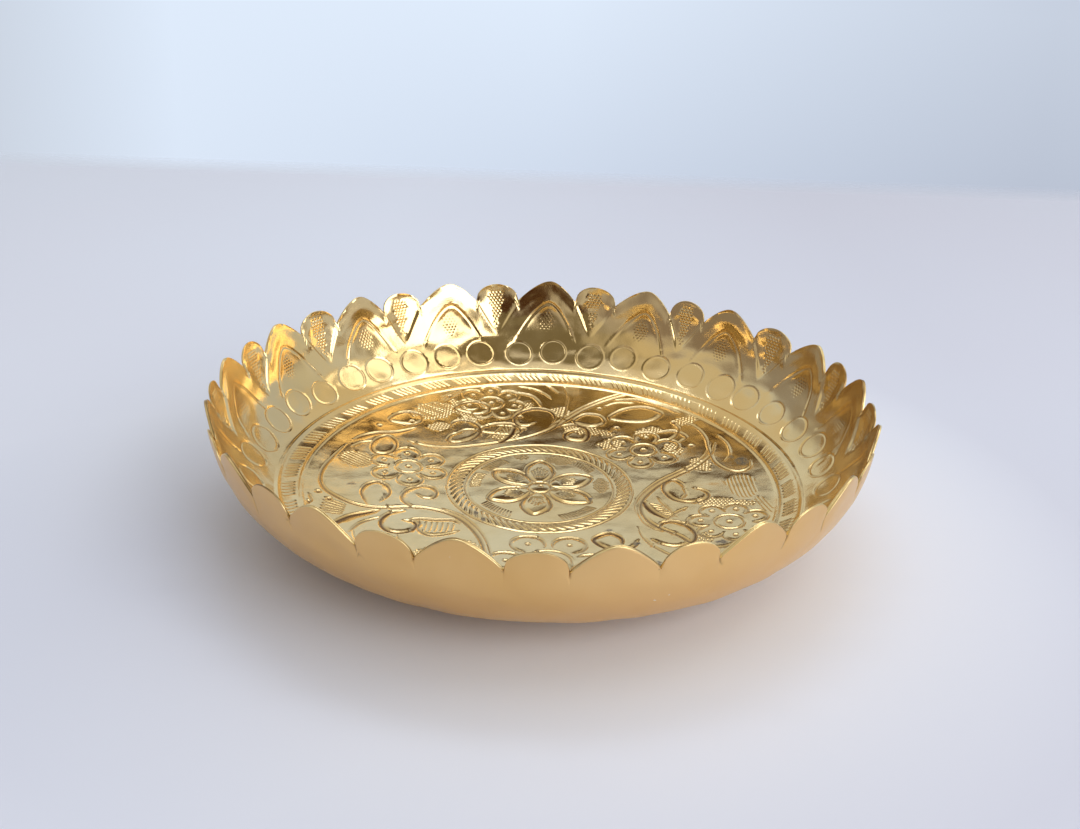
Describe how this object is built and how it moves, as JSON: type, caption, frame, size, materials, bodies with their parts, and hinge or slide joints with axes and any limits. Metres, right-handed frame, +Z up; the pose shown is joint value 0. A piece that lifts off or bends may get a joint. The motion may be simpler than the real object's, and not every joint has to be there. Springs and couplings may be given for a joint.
{
  "type": "urli bowl",
  "caption": "Shallow round urli bowl with a lotus petal rim, made of a plain outer shell and a nested embossed liner, for floating flowers and lamps.",
  "frame": {"origin": "centre of the flat base, on the plane that the bowl stands on", "axes": "+Z up out of the bowl, +Y towards the tip of one large petal, -Y towards the middle of one small petal"},
  "size_m": [0.249, 0.2497, 0.0497],
  "materials": {
    "satin_brass": "satin, warm coppery gold, fine soft grain",
    "polished_brass": "mirror polished pale gold over embossed relief"
  },
  "bodies": {
    "root": {"outer_shell": "satin_brass", "embossed_liner": "polished_brass"}
  },
  "joints": []
}
